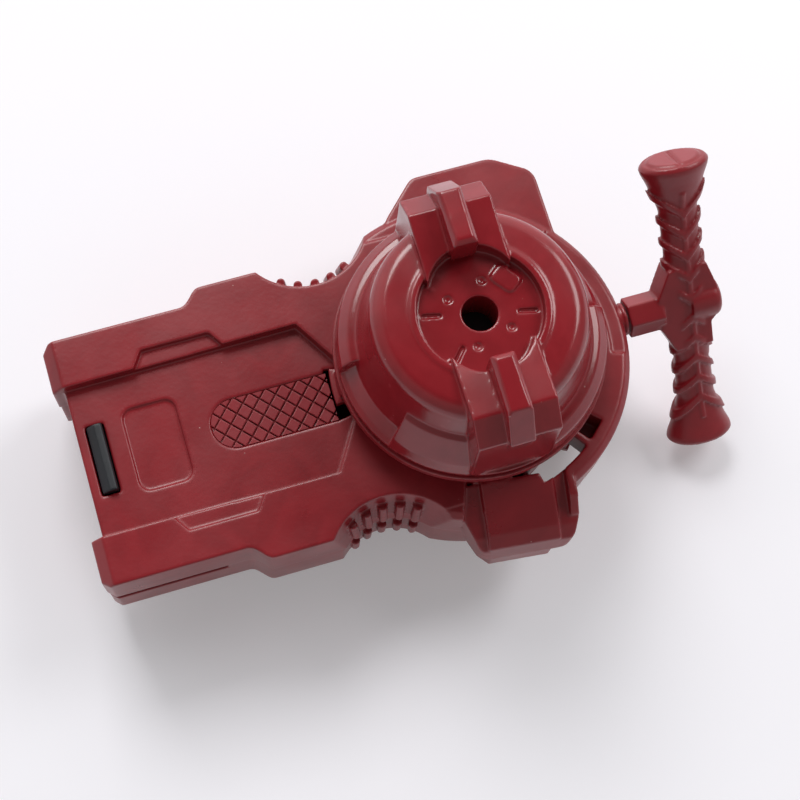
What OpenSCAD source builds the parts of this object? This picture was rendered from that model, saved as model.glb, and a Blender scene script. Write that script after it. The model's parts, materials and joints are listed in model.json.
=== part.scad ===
// Spinning top launcher with a pull cord, lying on its back with the prongs up.
// The origin is on the flat back cover, under the head axis. +X runs from the tail to the handle.

/* [Casing] */
// From the head axis to the ends of the rails
tail_len = 82.8; // [78:0.2:88]
// Width over the rails at the tail
tail_w = 52; // [49:0.5:56]
// Clear width between the rails
gap_w = 31.4; // [28:0.2:33]
// Height of the rail tops over the back face
rail_h = 33; // [32:0.2:36]
// How far the plate lies under the rail tops
plate_drop = 2.6; // [2:0.1:3.2]
// How far the head's rim lies under the rail tops
rim_drop = 0.4; // [0.2:0.1:0.8]
// Height of the underside over the back face
under_h = 8; // [6:0.2:9]
// Depth of the front shell under the rail tops
front_depth = 12.5; // [11:0.1:13]
// Wall of the shells
wall = 2; // [1.6:0.1:2.4]
// Radius of the rim around the head
rim_r = 33.9; // [33.4:0.1:35]
// How far each side steps out before the waist
step_out = 3.3; // [2:0.1:4]
// Width between the deepest points of the waist
waist_w = 46.6; // [44:0.2:48]
// Radius of the waist's hollow at the top
waist_r = 14.2; // [13:0.2:16]
// How far the waist's wall leans out towards its foot
waist_lean = 2.4; // [1:0.1:3]
// Number of grip ribs on each waist
waist_ribs = 5; // [3:1:6]
// Radius of the round housing on the back
bulge_r = 27.5; // [27:0.1:29]
// Reach of the far wing from the head axis
far_reach = 41; // [39:0.2:43]
// Reach of the near wing from the head axis
near_reach = 40.2; // [38:0.2:42]
// Width of the slope round the rim's edge
rim_slope = 1.4; // [0.6:0.1:1.8]

/* [Plate] */
// Length of the bare label pocket along the body
pocket_l = 11; // [9:0.5:12]
// Width of the label pocket
pocket_w = 17.6; // [14:0.2:20]
// Depth of the label pocket and the thumb pad
pocket_d = 0.6; // [0.4:0.1:0.8]
// Width of the thumb pad
pad_w = 10.4; // [8:0.2:12]
// Length of the thumb pad
pad_l = 25.4; // [20:0.2:27]
// Length of the latch bar across the body
latch_w = 14.2; // [12:0.2:18]
// Thickness of the latch bar along the body
latch_t = 3.2; // [2.6:0.1:3.6]
// How far the latch bar stands over the plate
latch_rise = 1.7; // [1.2:0.1:2.2]

/* [Head] */
// Radius of the selector ring
flange_r = 27.6; // [27.2:0.1:28.2]
// Height of the selector ring's top over the rail tops
flange_rise = 7.5; // [7.3:0.1:9]
// Thickness of the selector ring
selector_t = 2.5; // [2:0.1:2.8]
// Height of the dome's top over the rail tops
dome_rise = 30; // [29:0.2:33]
// Radius of the dome at its foot
dome_foot_r = 26.2; // [25.6:0.1:27]
// Radius of the dome's flat top
dome_top_r = 20.3; // [19.5:0.1:21]
// Radius of the dome at its neck
dome_neck_r = 22.2; // [21.8:0.1:22.8]
// Radius of the dome's shoulder
dome_round = 3.8; // [2.4:0.1:4]
// Wall of the dome
dome_wall = 2; // [1.6:0.1:2.2]
// Radius of the recess in the dome's top
recess_r = 12.2; // [11.6:0.1:13]
// Depth of the recess
recess_d = 2.4; // [2:0.1:3]
// Radius of the hole on the head axis
hole_r = 3.5; // [3:0.1:3.8]
// Width of a prong
prong_w = 16.6; // [15:0.2:18]
// Reach of a prong's outer face from the axis
prong_reach = 26.2; // [25.8:0.1:26.8]
// Width of a prong's middle rib
rib_w = 5; // [4:0.1:6]
// Height of the rib's outer end over the panel beside it
rib_rise = 4.4; // [3:0.1:5]

/* [Drive] */
// Gear module
gear_m = 0.95; // [0.9:0.01:0.98]
// Height of the gear teeth
gear_h = 4.4; // [3.6:0.1:4.6]
// Radius of the steel axle
axle_r = 2; // [1.8:0.05:2.2]
// Width of the spool's cord groove
groove_w = 4.8; // [4:0.1:5]
// Outer radius of the wound cord
winding_r = 16.8; // [15.5:0.1:17]
// Diameter of the cord
cord_d = 1.6; // [1.2:0.1:1.8]
// Depth of the cord axis under the rail tops
cord_drop = 4.4; // [4.2:0.1:4.8]
// Turns of the rewind spring
spring_turns = 6; // [4:1:7]
// Width of the rewind spring's band
spring_h = 10; // [8:0.5:11]

/* [Handle] */
// Length of the handle over its two end caps
handle_len = 66.5; // [62:0.5:67.5]
// Angle of the handle from level
handle_tilt = 45; // [0:1:45]
// Half width of the handle's end caps
flare_r = 7.3; // [6.6:0.1:7.6]
// Half width of the handle's arms
arm_r = 3.95; // [3.6:0.05:4.4]
// Thickness of the handle as a share of its width
arm_flat = 0.72; // [0.66:0.01:0.8]
// Width of the six-sided nose across its corners
nose_w = 8.6; // [8:0.1:9.4]
// From the eyelet to the middle of the handle
nose_reach = 14; // [13.4:0.1:15.5]

/* [Fits] */
// Radial clearance of running shafts
run_fit = 0.05; // [0.03:0.01:0.08]
// Gap between pieces that move past each other
move_gap = 0.3; // [0.25:0.05:0.4]
// Gap between pieces that are fixed together
seat_gap = 0.02; // [0.01:0.01:0.05]
// Radius of the casing screws
screw_r = 1.2; // [1:0.05:1.4]

/* [Hidden] */
$fn = 72;
eps = 0.01;

red = "#8f2f37";
deep_red = "#7c2830";
ink = "#20242c";
steel = "#a9adb3";
brass = "#b79a58";
cream = "#d9d6cd";

// Levels over the back face
parting_h = rail_h - front_depth;
plate_z = rail_h - plate_drop;
rim_z = rail_h - rim_drop;
roof_z = plate_z - wall;
rim_roof_z = rim_z - wall;
cord_z = rail_h - cord_drop;
groove_lo = cord_z - groove_w / 2;
groove_hi = cord_z + groove_w / 2;
spool_web = 1.6;
web_lo = groove_lo - spool_web;
spool_flange = 1.2;
ring_lo = groove_hi + spool_flange;
gear_lo = ring_lo + 0.4;
gear_hi = gear_lo + gear_h;
carrier_lo = gear_hi + 0.5;
carrier_t = 1.9;
carrier_hi = carrier_lo + carrier_t;
selector_hi = rail_h + flange_rise;
selector_lo = selector_hi - selector_t;
ledge_z = selector_lo - move_gap;
dome_lo = selector_hi + 0.4;
dome_hi = rail_h + dome_rise;
floor_z = dome_hi - recess_d;
dome_neck_z = dome_hi - 10.2;
prong_in = dome_neck_r - dome_wall - 3.6;
panel_z = dome_hi + 2.2;
rib_z = panel_z + rib_rise;
rib_start = recess_r - 1.2;
rib_edge = 1;
prong_start = recess_r - 6;
prong_hollow_y = recess_r - 8.6;
prong_hollow_r = prong_w / 2 + 0.8;
cover_t = 2.4;

// Plan of the casing, and the line that shows between the shells
seam = 0.15;
half_w = tail_w / 2;
half_gap = gap_w / 2;
wide_w = half_w + step_out;
plate_end = -tail_len + 2.4;
step_x = -tail_len + 29.4;
step_run = 4.6;
waist_x = -25.2;
waist_y = waist_w / 2 + waist_r;
waist_foot_r = waist_r - waist_lean;
waist_inset = 1.8;
rib_pitch = 4;
rib_r = 0.95;
rib_sink = 0.2;
rib_lean = atan2(waist_lean, front_depth);
near_block_x = [-2.6, 12.2];
near_fin_x = 16.6;
near_rim_gap = [-108, -66];
rail_corner = 1.6;
recess_x = -31.8;
recess_half = half_gap + 0.5;
ledge_from = -tail_len + 16.8;
ledge_to = -tail_len + 35.8;
ledge_depth = 1.2;
pocket_x = -tail_len + 17.6;
pocket_corner = 2.4;
ledge_out = 3.6;
wing_floor = under_h + 4;
far_wing_z = rail_h - 1;
far_x = 26;
near_turn = -6;
near_block_z = rail_h - 0.1;
near_block_fold = 37;
near_block_drop = 3.9;
near_block_in = 26.4;
near_base_drop = 1.3;
near_base_z = rail_h - 9;
near_fin_t = 1.8;

// Gears: the ring turns round two idlers and a sun of one size
pinion_teeth = 14;
pinion_r = gear_m * pinion_teeth / 2;
idler_x = 2 * pinion_r;
ring_teeth = 3 * pinion_teeth;
ring_r = 3 * pinion_r;
pressure = 20;
tooth_add = 0.75 * gear_m;
tooth_ded = 1.1 * gear_m;
backlash = 0.24;
ring_add = 0.6 * gear_m;
ring_out = ring_r + tooth_ded + 2.2;
post_r = 1.6;

// Rooms for the drive inside the casing
collar_in = ring_out + 0.5;
collar_wall = 1.6;
collar_out = collar_in + collar_wall;
ledge_r = flange_r - 0.5;
barrel_out = 21.7;
barrel_wall = 1.5;
barrel_in = barrel_out - barrel_wall;
well_r = barrel_out + 0.9;
core_r = 12;
hub_r = 4;
arbor_r = 4;
arbor_hi = 16.4;
washer_t = 0.5;
hub_lo = arbor_hi + washer_t + 0.1;
axle_hi = gear_lo + 2.4;
spring_lo = 5.6;
spring_t = 0.5;
shaft_r = 4;
shaft_hi = carrier_hi + 11;
bush_r = 6;
bush_hi = shaft_hi - 4;

// Slots that go right through the casing beside the head
slot_in = collar_out + 0.2;
slot_out = 30.3;
near_slot = [-76, -54];
pocket_slot = [-51, -42];
far_slot = [62, 97.5];
far_slot_out = 33;
slot_frame = 4;
pocket_slot_d = 6;
slot_deep_z = rim_z - pocket_slot_d - 1.2;
slot_mid_in = collar_in + 1.2;
slot_low_in = well_r + 1.2;

// Selector tab and the slot that it moves in
tab_in = collar_out + 0.7;
tab_out = flange_r + 0.8;
web_out = flange_r - 0.3;
tab_from = 169;
tab_to = 184.5;
tab_lo = plate_z - 0.6;
tab_hi = plate_z + 1.6;
tab_slot_gap = 1.1;
selector_travel = 5;

// Fasteners
screw_head_r = 2.1;
screw_head_t = 1.6;
boss_r = 3;
tail_screw_x = -tail_len + 9.8;
mid_screw_x = step_x + 12.4;
head_screw_ring = rim_r - 4.7;
screw_places = concat(
    [for (side = [-1, 1]) [tail_screw_x, side * (half_w - 5.6)]],
    [for (side = [-1, 1]) [mid_screw_x, side * (wide_w - 7.8)]],
    [for (a = [-24, 30]) head_screw_ring * [cos(a), sin(a)]]);
small_screw_r = 0.9;
cover_screw_ring = bulge_r - 2.3;
cover_screw_hi = under_h + 1;
carrier_screw_ring = 0.5 * (collar_in + collar_out) - 0.1;
carrier_screw_r = 0.5;
dome_screw_x = 15.6;
casing_screw_bite = 5;
carrier_screw_bite = 3.2;
handle_screw_x = 3.2;
handle_screw_y = 14;

// Latch
latch_x = plate_end + wall + move_gap + latch_t / 2;
latch_spring_x = latch_x + 4;
latch_foot_t = 1.4;
latch_foot_hi = roof_z - move_gap;
latch_foot_lo = latch_foot_hi - latch_foot_t;
latch_post_hi = parting_h - 1.5;
latch_spring_r = 2.2;
latch_wire = 0.5;
latch_coils = 5;

// Handle
eyelet_r = 3.2;
eyelet_hole = cord_d / 2 + 0.9;
eyelet_face = rim_r + 1;
handle_x = eyelet_face + nose_reach;
nose_start = eyelet_face + 0.4;
hub_half = 7;
hub_w = 7;
hub_l = 9.4;
hub_t = 5.9;
bump_r = 4.3;
bump_l = 6.8;
spine_w = 1;
cap_line_w = 0.5;
cap_line_d = 0.35;
chevron_from = 1.2;
stopper_r = 2.5;
stopper_l = 5;
stopper_x = handle_x - 2.4;
chevrons = 5;
chevron_pitch = 4.9;
chevron_rise = 0.7;
chevron_t = 1.3;
chevron_turn = 38;

// The cord's way from the spool through the eyelet into the handle, in plan
cord_route = [[10, 14.9], [15, 11.5], [20, 8.2], [25, 4.8], [29, 2.2], [31, 1.1], [33, 0.3], [35, 0],
    [40, 0]];

// Points along an arc
function arc(centre, r, from, to, n) =
    [for (i = [0:n]) centre + r * [cos(from + (to - from) * i / n), sin(from + (to - from) * i / n)]];

// Half angle of a gear tooth at radius r, for a given tooth width at the pitch circle
function involute(r, base) = let (a = acos(min(1, base / r))) tan(a) * 180 / PI - a;
function tooth_half(r, pitch, width) = let (base = pitch * cos(pressure))
    width / 2 / pitch * 180 / PI + involute(pitch, base) - involute(max(r, base), base);

// Outline of a gear from its root to its tip, with flank points that follow the involute
function gear_outline(teeth, pitch, root, tip, width, flank = 4) =
    [for (k = [0:teeth - 1], side = [-1, 1], i = [0:flank])
        let (share = side < 0 ? i / flank : 1 - i / flank,
             r = root + (tip - root) * share,
             a = 360 * k / teeth + side * tooth_half(r, pitch, width))
        r * [cos(a), sin(a)]];

// A round tube along points, as one closed solid
function unit(v) = v / norm(v);
function tangent(p, i) = unit(p[min(i + 1, len(p) - 1)] - p[max(i - 1, 0)]);
function side_of(t) = unit(cross(abs(t[2]) > 0.9 ? [1, 0, 0] : [0, 0, 1], t));
module tube(path, r, sides = 8) {
    n = len(path);
    rings = [for (i = [0:n - 1], k = [0:sides - 1])
        let (t = tangent(path, i), u = side_of(t), v = cross(t, u), a = 360 * k / sides)
        path[i] + r * (cos(a) * u + sin(a) * v)];
    start_cap = [for (k = [1:sides - 2]) [0, k + 1, k]];
    end_at = (n - 1) * sides;
    end_cap = [for (k = [1:sides - 2]) [end_at, end_at + k, end_at + k + 1]];
    walls = [for (i = [0:n - 2], k = [0:sides - 1], half = [0, 1])
        let (a = i * sides + k, b = i * sides + (k + 1) % sides)
        half == 0 ? [a, b, b + sides] : [a, b + sides, a + sides]];
    polyhedron([for (p = rings) p], concat(start_cap, end_cap, walls));
}

// A block that is a sector of a ring
module ring_sector(r_in, r_out, from, to, lo, hi) {
    rotate([0, 0, from])
        rotate_extrude(angle = to - from)
            translate([r_in, lo])
                square([r_out - r_in, hi - lo]);
}

// A cylinder along +X from a point on the cord axis
module cord_bore(from, to, r, sides = 48) {
    translate([from, 0, cord_z])
        rotate([0, 90, 0])
            cylinder(h = to - from, r = r, $fn = sides);
}

// Plan of the tail on the +Y side, from the plate's end round the rail and the step to the head
function step_curve(inset) = [for (i = [0:6])
    [step_x - inset / 2 + step_run * i / 6, half_w - inset + step_out * (1 - cos(30 * i)) / 2]];
function tail_half(inset) = let (
        end = -tail_len + inset,
        side = half_w - inset,
        cut = max(rail_corner - inset * (2 - sqrt(2)), rail_corner / 8))
    concat([[plate_end + inset, half_gap + inset], [end, half_gap + inset]],
        [[end, side - cut], [end + cut, side]],
        step_curve(inset), [[0, wide_w - inset]]);
function flip(points) = [for (i = [len(points) - 1:-1:0]) [points[i][0], -points[i][1]]];

// Plan of the tail alone, and of the whole casing: the tail and the round part, cut by the waists
module tail_plan(inset) {
    polygon(concat(tail_half(inset), flip(tail_half(inset))));
}

module casing_plan(inset = 0) {
    difference() {
        union() {
            tail_plan(inset);
            circle(r = rim_r - inset);
        }
        for (side = [-1, 1])
            translate([waist_x, side * waist_y]) circle(r = waist_foot_r + waist_inset * inset);
    }
}

// Space that the leaning wall of each waist leaves free
module waist_hollows() {
    for (side = [-1, 1])
        translate([waist_x, side * waist_y, parting_h])
            cylinder(h = rail_h - parting_h, r1 = waist_foot_r, r2 = waist_r);
}

// Small upright ribs on the waist's wall, leaning with it over the front shell
module waist_rib_row(lo, hi, lean) {
    for (side = [0, 1], i = [0:waist_ribs - 1]) {
        turn = (i - (waist_ribs - 1) / 2) * rib_pitch / waist_r * 180 / PI;
        mirror([0, side, 0])
            translate([waist_x, waist_y, 0])
                rotate([0, 0, turn])
                    translate([0, rib_sink - waist_foot_r, lo])
                        rotate([lean, 0, 0])
                            cylinder(h = hi - lo, r = rib_r, $fn = 24);
    }
}

// Plan of the far wing, straight along its outer edge and round at its corners
module far_wing_plan() {
    polygon(concat([[-10.4, 26], [-9, 31.4], [-6.7, 34.1]],
        arc([1.6, far_reach - 3.2], 3.2, 140, 90, 4), arc([16, far_reach - 6], 6, 90, 62, 3),
        arc([far_x - 4, far_reach - 7.4], 4, 52, 0, 4), [[far_x, 20], [18, 26]]));
}

// Plan of the near wing's base, in a frame that is turned a little to the body
module near_base_plan() {
    polygon(concat([[-9.6, -22], [-8.6, -28.4]], arc([-1.6, 3.4 - near_reach], 3.4, 205, 262, 5),
        arc([12.6, 3.4 - near_reach], 3.4, 270, 330, 4), [[near_fin_x, -35.6], [near_fin_x + 1, -22]]));
}

// Side view of the near wing's raised block: a slope, and a steeper band under its fold
module near_block_side(drop, lo) {
    top = near_block_z - drop;
    polygon([[-near_block_in, top], [-near_block_fold, top - near_block_drop],
        [0.8 - near_reach, top - near_block_drop - 2], [-near_reach, lo], [-near_block_in, lo]]);
}

// Far wing: one broad flat block
module far_wing(lo, hi) {
    translate([0, 0, lo]) linear_extrude(hi - lo) far_wing_plan();
}

// Near wing: a sloped base, the raised block on it and a fin beside the block
module near_wing(lo) {
    rotate([0, 0, near_turn]) {
        intersection() {
            translate([0, 0, lo]) linear_extrude(rail_h) near_base_plan();
            rotate([90, 0, 90]) translate([0, 0, -40]) linear_extrude(80)
                near_block_side(near_base_drop, lo);
        }
        rotate([90, 0, 90]) translate([0, 0, near_block_x[0]])
            linear_extrude(near_block_x[1] - near_block_x[0]) near_block_side(0, lo + eps);
        rotate([90, 0, 90]) translate([0, 0, near_fin_x - near_fin_t]) linear_extrude(near_fin_t)
            polygon([[-26.6, near_block_z], [-32, near_block_z - 0.6], [-35.4, near_block_z - 4],
                [-36.4, lo + 1], [-26, lo + 1]]);
    }
}

// Underside of the near wing, on the back shell
module near_wing_foot(lo, hi) {
    rotate([0, 0, near_turn]) translate([0, 0, lo]) linear_extrude(hi - lo)
        polygon([[-8, -24], [-7.4, -28.6], [-3.6, 2.8 - near_reach], [-1.4, 0.6 - near_reach],
            [11.4, 0.6 - near_reach], [14.4, -35], [15, -24]]);
}

// Plan of the walls round the through slots
module sector_plan(r_in, r_out, from, to) {
    polygon(concat(arc([0, 0], r_out, from, to, 24), arc([0, 0], r_in, to, from, 24)));
}

module slot_wall_plan() {
    sector_plan(collar_in - 1, rim_r - wall / 2, near_slot[0] - slot_frame, pocket_slot[1] + slot_frame);
    sector_plan(collar_in - 1, rim_r - wall / 2, far_slot[0] - slot_frame, far_slot[1] + slot_frame);
}

// The near slot opens wider towards the back
module near_slot_foot(out) {
    ring_sector(slot_low_in, out, near_slot[0], pocket_slot[1], -1, parting_h);
}

module through_slots() {
    slot_lo = under_h - 0.5;
    ring_sector(slot_in, slot_out, near_slot[0], near_slot[1], slot_deep_z - 1, rail_h + 1);
    ring_sector(slot_mid_in, slot_out, near_slot[0], pocket_slot[1], parting_h - 1, slot_deep_z);
    near_slot_foot(slot_out);
    ring_sector(slot_in, far_slot_out, far_slot[0], far_slot[1], slot_lo, rail_h + 1);
    ring_sector(slot_in + 0.6, slot_out, pocket_slot[0], pocket_slot[1], rim_z - pocket_slot_d, rail_h + 1);
}

// Plan of the sunk plate between the rails
module plate_plan() {
    polygon([[-tail_len - 1, -half_gap], [recess_x, -recess_half], [recess_x + 10, 0],
        [recess_x, recess_half], [-tail_len - 1, half_gap]]);
}

// Plan of the shallow ledge along the inner edge of a rail
module ledge_plan() {
    polygon([[ledge_from, half_gap - 1], [ledge_from, half_gap], [ledge_from + 2.4, half_gap + ledge_out],
        [ledge_to - 2.4, half_gap + ledge_out], [ledge_to, half_gap], [ledge_to, half_gap - 1]]);
}

module pocket_plan(l, w, r) {
    for (x = [-1, 1], y = [-1, 1])
        translate([x * (l / 2 - r), y * (w / 2 - r)]) circle(r = r, $fn = 32);
    square([l, w - 2 * r], center = true);
    square([l - 2 * r, w], center = true);
}

// Plan of the thumb pad: a round tail end, and a straight end at the head
module pad_plan() {
    pad_head = -28.6;
    translate([pad_head - pad_l + pad_w / 2, 0]) circle(d = pad_w);
    translate([pad_head - pad_l + pad_w / 2, -pad_w / 2]) square([pad_l - pad_w / 2, pad_w]);
}

module boss_plan() {
    for (p = screw_places)
        translate(p) circle(r = boss_r);
}

// The room inside a shell between two levels, less its bosses and the walls round the slots
module room(lo, hi, inset) {
    translate([0, 0, lo]) linear_extrude(hi - lo) difference() {
        casing_plan(inset);
        boss_plan();
        slot_wall_plan();
    }
}

// Collar that carries the head, with the ledge under the selector ring
module collar() {
    rotate_extrude() polygon([[collar_in - 1, rim_roof_z + 0.4], [collar_out, rim_roof_z + 0.4],
        [collar_out, ledge_z - 3.4], [ledge_r, ledge_z - 1.6], [ledge_r, ledge_z], [collar_out, ledge_z],
        [collar_out, carrier_lo], [collar_in - 1, carrier_lo]]);
}

module rail_end_chamfer() {
    for (side = [-1, 1])
        translate([-tail_len, side * half_w, rail_h])
            rotate([0, 45, 0])
                cube([3.4, 4 * half_w, 3.4], center = true);
}

// Space beside the slope round the rim's edge
module rim_edge_slope() {
    rotate([0, 0, -118]) rotate_extrude(angle = 236)
        polygon([[rim_r - rim_slope, rim_z + eps], [rim_r + 1, rim_z + eps],
            [rim_r + 1, rim_z - rim_slope - 1]]);
}

// Front shell: rails, sunk plate, rim, wings and the collar
module front_shell() {
    color(red) difference() {
        union() {
            difference() {
                translate([0, 0, parting_h]) linear_extrude(rail_h - parting_h) casing_plan();
                waist_hollows();
                rim_edge_slope();
                // The rim stops at the near wing
                ring_sector(collar_out + 0.9, rim_r + 1, near_rim_gap[0], near_rim_gap[1], near_base_z,
                    rail_h + 1);
            }
            far_wing(parting_h + seam, far_wing_z);
            near_wing(parting_h + seam);
            waist_rib_row(parting_h + 3, rail_h - 3, rib_lean);
            collar();
        }
        room(parting_h - 1, roof_z, wall);
        // The rim lies lower than the rails
        translate([0, 0, rim_z]) linear_extrude(rail_h - rim_z + 0.2) difference() {
            circle(r = rim_r + 1);
            circle(r = collar_out + 1.4);
            tail_plan(0);
        }
        // Room for the cord under the rim
        ring_sector(collar_in - 1, rim_r - wall - 0.1, -36, 50, parting_h - 1, rim_roof_z);
        // The collar's bore, wide enough for the spool's ring gear
        translate([0, 0, parting_h - 1]) cylinder(h = 40, r = collar_in);
        translate([0, 0, plate_z]) linear_extrude(4) difference() {
            plate_plan();
            circle(r = collar_out + 0.8);
        }
        for (side = [0, 1])
            mirror([0, side, 0])
                translate([0, 0, rail_h - ledge_depth]) linear_extrude(3) ledge_plan();
        translate([pocket_x, 0, plate_z - pocket_d]) linear_extrude(3)
            pocket_plan(pocket_l, pocket_w, pocket_corner);
        translate([0, 0, plate_z - pocket_d]) linear_extrude(1) difference() {
            pad_plan();
            circle(r = ledge_r);
        }
        rail_end_chamfer();
        through_slots();
        // Shallow bare band on the rim
        ring_sector(30, rim_r - 1, -14, 42, rim_z - 0.4, rim_z + 1);
        // Slot for the selector's tab
        ring_sector(tab_in - move_gap, tab_out + tab_slot_gap, tab_from - 0.8,
            tab_to + selector_travel + 0.8, roof_z - 1, ledge_z + 1);
        // Slot for the latch bar
        translate([latch_x - latch_t / 2 - move_gap, -latch_w / 2 - move_gap, roof_z - 1])
            cube([latch_t + 2 * move_gap, latch_w + 2 * move_gap, 20]);
        cord_bore(rim_r - 8, rim_r + 4, eyelet_r + seat_gap);
        for (p = screw_places)
            translate([p[0], p[1], parting_h - 1]) cylinder(h = 8, r = screw_r + seat_gap, $fn = 32);
        for (a = [30, 150, 270])
            rotate([0, 0, a]) translate([carrier_screw_ring, 0, carrier_lo - 3])
                cylinder(h = 4, r = carrier_screw_r + seat_gap, $fn = 24);
    }
}

// Back shell: floor, sides, the wings' undersides and the round housing
module back_shell() {
    groove_d = 2.4;
    groove_h = 3.4;
    floor_hi = under_h + wall;
    color(red) difference() {
        union() {
            difference() {
                union() {
                    translate([0, 0, under_h]) linear_extrude(parting_h - under_h) casing_plan(0.3);
                    far_wing(wing_floor, parting_h - seam);
                    near_wing_foot(wing_floor, parting_h - seam);
                    waist_rib_row(under_h + 5, parting_h - 2, 0);
                    translate([0, 0, cover_t]) cylinder(h = under_h - cover_t + 1, r = bulge_r - 0.6);
                }
                room(floor_hi, parting_h + 1, wall + groove_d);
            }
            translate([latch_spring_x, 0, floor_hi - 1])
                cylinder(h = latch_post_hi - floor_hi + 1, r = latch_spring_r + 0.8);
        }
        // Well for the spring barrel
        translate([0, 0, -1]) cylinder(h = parting_h + 2, r = well_r);
        through_slots();
        // Side grooves that a clip-on grip slides along
        for (side = [-1, 1])
            translate([-tail_len - 1, side * half_w - groove_d, parting_h - groove_h])
                cube([tail_len - 57, 2 * groove_d, groove_h + 1]);
        for (p = screw_places) {
            translate([p[0], p[1], under_h - 1]) cylinder(h = 20, r = screw_r + 0.15, $fn = 32);
            translate([p[0], p[1], under_h - 1])
                cylinder(h = 1 + screw_head_t + 0.6, r = screw_head_r + 0.3, $fn = 32);
        }
        for (a = [90, 210, 330])
            rotate([0, 0, a]) translate([cover_screw_ring, 0, cover_t - 1])
                cylinder(h = cover_screw_hi - cover_t + 1.2, r = small_screw_r + seat_gap, $fn = 24);
    }
}

// Round cover on the back, with the arbor that holds the spring's inner end
module back_cover() {
    color(deep_red) difference() {
        union() {
            cylinder(h = 0.8, r1 = bulge_r - 0.8, r2 = bulge_r);
            translate([0, 0, 0.8]) cylinder(h = cover_t - 0.8, r = bulge_r);
            cylinder(h = arbor_hi, r = arbor_r);
        }
        translate([0, 0, 1]) cylinder(h = arbor_hi, r = axle_r + seat_gap);
        near_slot_foot(bulge_r + 1);
        for (a = [90, 210, 330])
            rotate([0, 0, a]) translate([cover_screw_ring, 0, -1]) {
                cylinder(h = 5, r = small_screw_r + 0.1, $fn = 24);
                cylinder(h = 2.3, r = 1.7, $fn = 24);
            }
    }
}

// One screw with a round head and a cross recess, pointing up from z = 0
module screw(r, head_r, head_t, length) {
    difference() {
        union() {
            cylinder(h = head_t, r = head_r, $fn = 32);
            cylinder(h = length, r = r, $fn = 32);
        }
        for (a = [0, 90])
            rotate([0, 0, a]) cube([head_r * 1.1, 0.5 * r, head_t], center = true);
    }
}

module casing_screws() {
    color(steel) for (p = screw_places)
        translate([p[0], p[1], under_h + 0.6])
            screw(screw_r, screw_head_r, screw_head_t, parting_h + casing_screw_bite - under_h);
}

module cover_screws() {
    color(steel) for (a = [90, 210, 330])
        rotate([0, 0, a]) translate([cover_screw_ring, 0, 0.3])
            screw(small_screw_r, 1.6, 1, cover_screw_hi - 0.3);
}

module spool_axle() {
    color(steel) translate([0, 0, 1]) cylinder(h = axle_hi - 1, r = axle_r);
}

module axle_washer() {
    color(steel) translate([0, 0, arbor_hi]) difference() {
        cylinder(h = washer_t, r = hub_r + 0.8);
        translate([0, 0, -1]) cylinder(h = 3, r = axle_r + run_fit);
    }
}

// Flat spiral spring from the arbor to the wall of the spool's barrel
module rewind_spring() {
    steps = 24 * spring_turns;
    r0 = arbor_r + 0.3;
    grow = (barrel_in - 0.3 - spring_t - r0) / steps;
    function spiral(i, out) = (r0 + grow * i + out) * [cos(15 * i), sin(15 * i)];
    color(steel) translate([0, 0, spring_lo]) linear_extrude(spring_h)
        polygon(concat([for (i = [0:steps]) spiral(i, 0)], [for (i = [steps:-1:0]) spiral(i, spring_t)]));
}

// Flanged eyelet that the cord runs through
module cord_eyelet() {
    color(deep_red) difference() {
        union() {
            cord_bore(rim_r - wall, eyelet_face, eyelet_r);
            cord_bore(rim_r + 0.3, eyelet_face, eyelet_r + 0.3);
        }
        cord_bore(rim_r - 6, eyelet_face + 1, eyelet_hole);
        // Bell mouth on the spool's side
        translate([rim_r - wall - eps, 0, cord_z]) rotate([0, 90, 0])
            cylinder(h = wall, r1 = eyelet_r - 0.6, r2 = eyelet_hole, $fn = 48);
    }
}

// Fixed plate on the collar with the two posts that carry the idlers
module gear_carrier() {
    color(cream) difference() {
        union() {
            translate([0, 0, carrier_lo]) cylinder(h = carrier_t, r = collar_out - 0.1);
            for (x = [-idler_x, idler_x])
                translate([x, 0, gear_lo]) cylinder(h = carrier_lo - gear_lo + 1, r = post_r, $fn = 32);
        }
        translate([0, 0, carrier_lo - 1]) cylinder(h = 5, r = bush_r + seat_gap);
        for (a = [30, 150, 270])
            rotate([0, 0, a]) translate([carrier_screw_ring, 0, carrier_lo - 1]) {
                cylinder(h = 5, r = carrier_screw_r + 0.1, $fn = 24);
            }
    }
}

module carrier_screws() {
    color(steel) for (a = [30, 150, 270])
        rotate([0, 0, a]) translate([carrier_screw_ring, 0, carrier_hi + 0.7])
            rotate([180, 0, 0]) screw(carrier_screw_r, 0.75, 0.7, carrier_t + carrier_screw_bite);
}

module head_bush() {
    color(brass) difference() {
        union() {
            translate([0, 0, carrier_lo]) cylinder(h = bush_hi - carrier_lo, r = bush_r);
            translate([0, 0, carrier_hi]) cylinder(h = 1, r = bush_r + 1.6);
        }
        translate([0, 0, carrier_lo - 1]) cylinder(h = 30, r = shaft_r + run_fit);
    }
}

// Compression spring under the latch
module latch_spring() {
    turns = 8 * latch_coils;
    lo = latch_post_hi + latch_wire / 2;
    hi = latch_foot_lo - latch_wire / 2;
    path = [for (i = [0:turns])
        [latch_spring_r * cos(45 * i), latch_spring_r * sin(45 * i), lo + (hi - lo) * i / turns]];
    color(steel) translate([latch_spring_x, 0, 0]) tube(path, latch_wire / 2, 6);
}

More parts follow.
